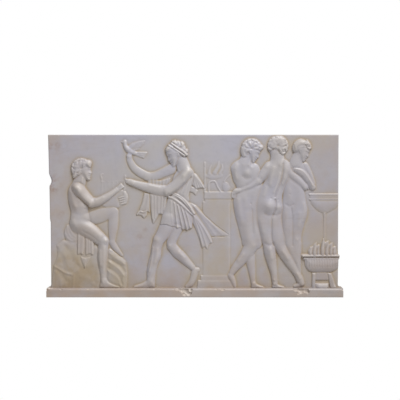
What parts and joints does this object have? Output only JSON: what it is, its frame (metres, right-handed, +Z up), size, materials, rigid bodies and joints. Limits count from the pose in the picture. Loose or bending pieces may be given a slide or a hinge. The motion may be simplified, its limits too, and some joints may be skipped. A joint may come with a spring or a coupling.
{
  "type": "marble relief plaque",
  "caption": "Long rectangular marble wall plaque with a projecting foot ledge, carved in low relief with classical figures, an altar, a basin and a brazier.",
  "frame": {"origin": "middle of the flat back face, which goes against the wall", "axes": "+X along the plaque to the viewer's right, +Y into the wall, +Z up; the carving faces -Y"},
  "size_m": [0.89, 0.054, 0.487],
  "materials": {
    "marble": "honed white marble with an ochre patina in the hollows"
  },
  "bodies": {
    "root": {"relief_plaque": "marble"}
  },
  "joints": []
}
